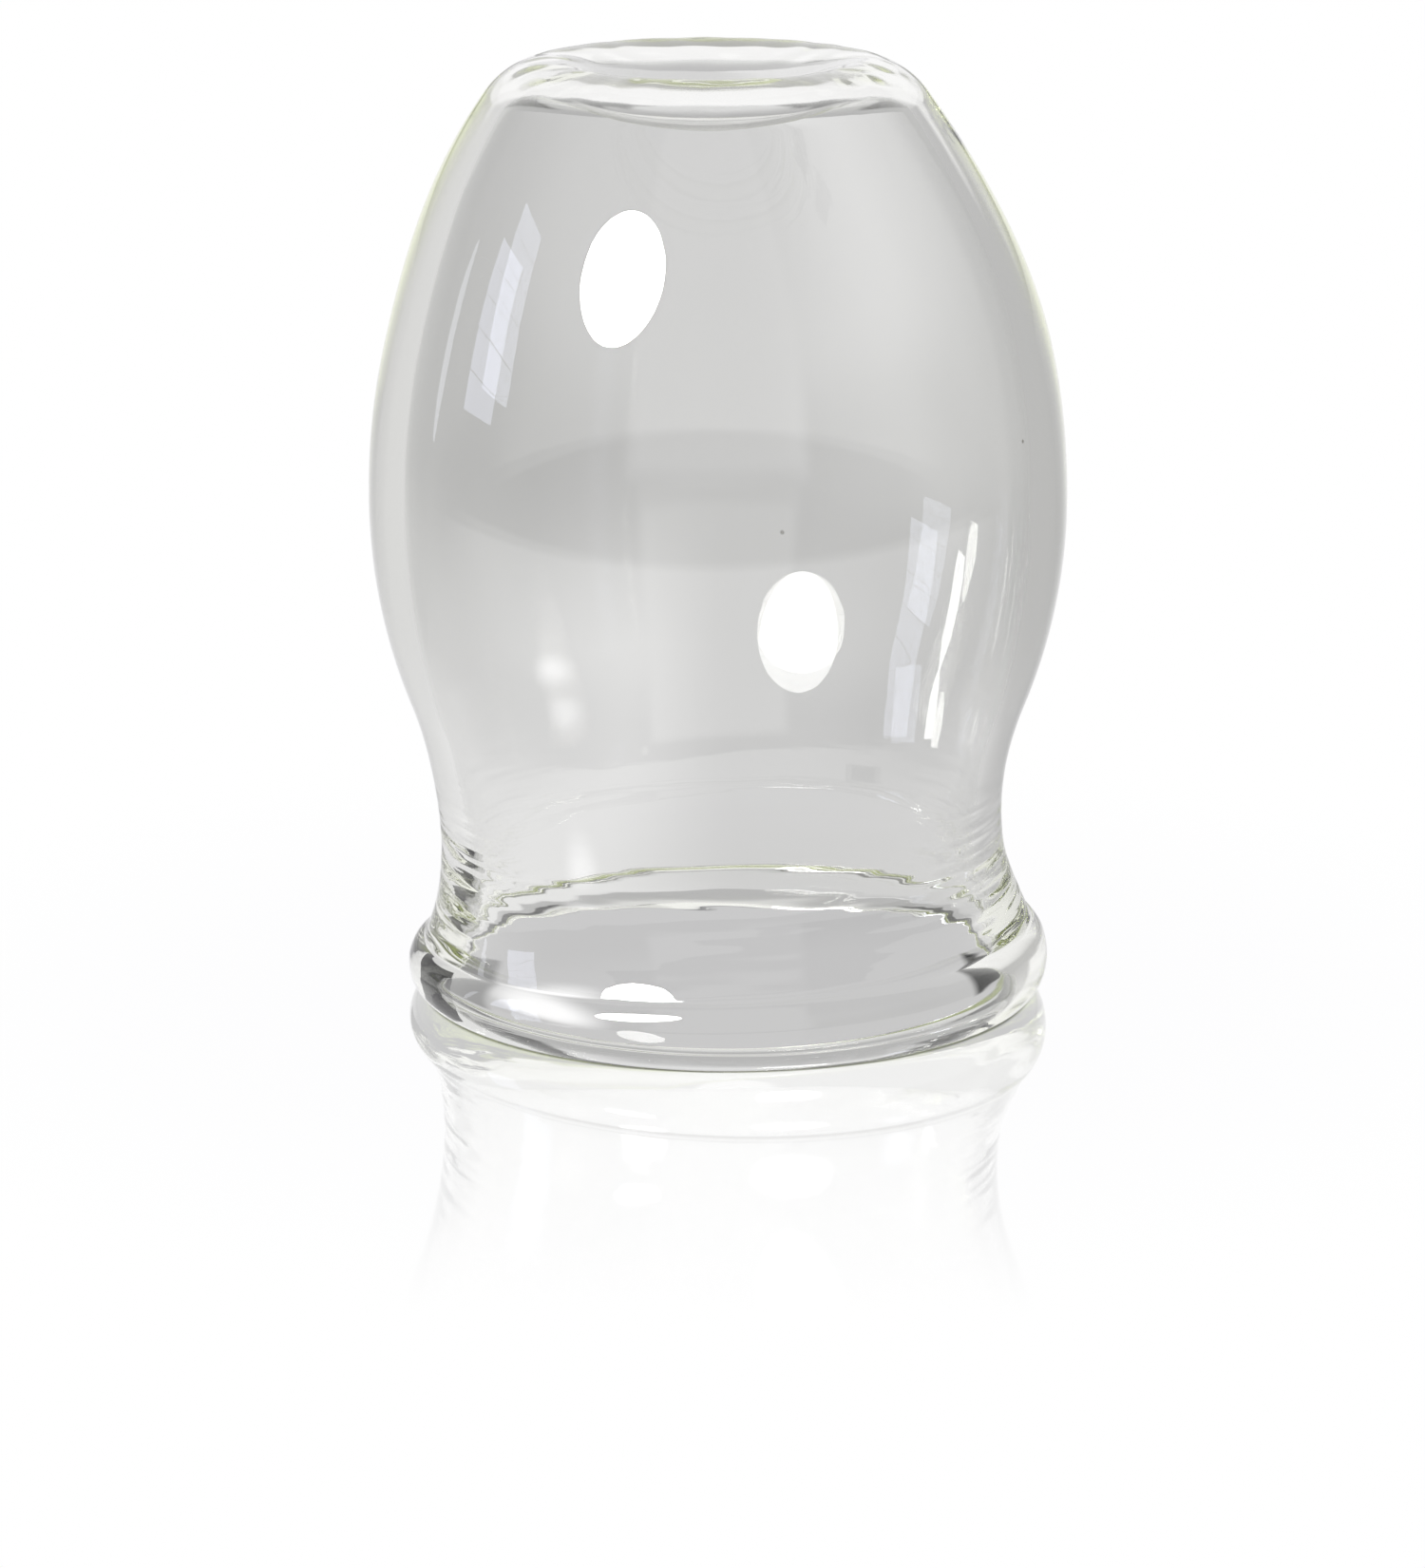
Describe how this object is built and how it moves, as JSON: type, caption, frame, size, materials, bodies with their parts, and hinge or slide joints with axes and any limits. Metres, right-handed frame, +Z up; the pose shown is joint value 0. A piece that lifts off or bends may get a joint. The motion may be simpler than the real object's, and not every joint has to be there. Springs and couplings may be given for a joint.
{
  "type": "cupping glass",
  "caption": "Hollow blown-glass cup for cupping massage: a round belly drawn in to a waist, a flared mouth with a thick rolled lip, and a closed, dished end.",
  "frame": {"origin": "middle of the mouth, on the surface that the cup stands on with its mouth down", "axes": "+Z up the cup's axis, from the mouth to the dished closed end; X and Y are alike"},
  "size_m": [0.0554, 0.0554, 0.075],
  "materials": {
    "clear_glass": "clear blown soda-lime glass, fire-polished, with a faint green tint where it is thick"
  },
  "bodies": {
    "root": {"glass_cup": "clear_glass"}
  },
  "joints": []
}
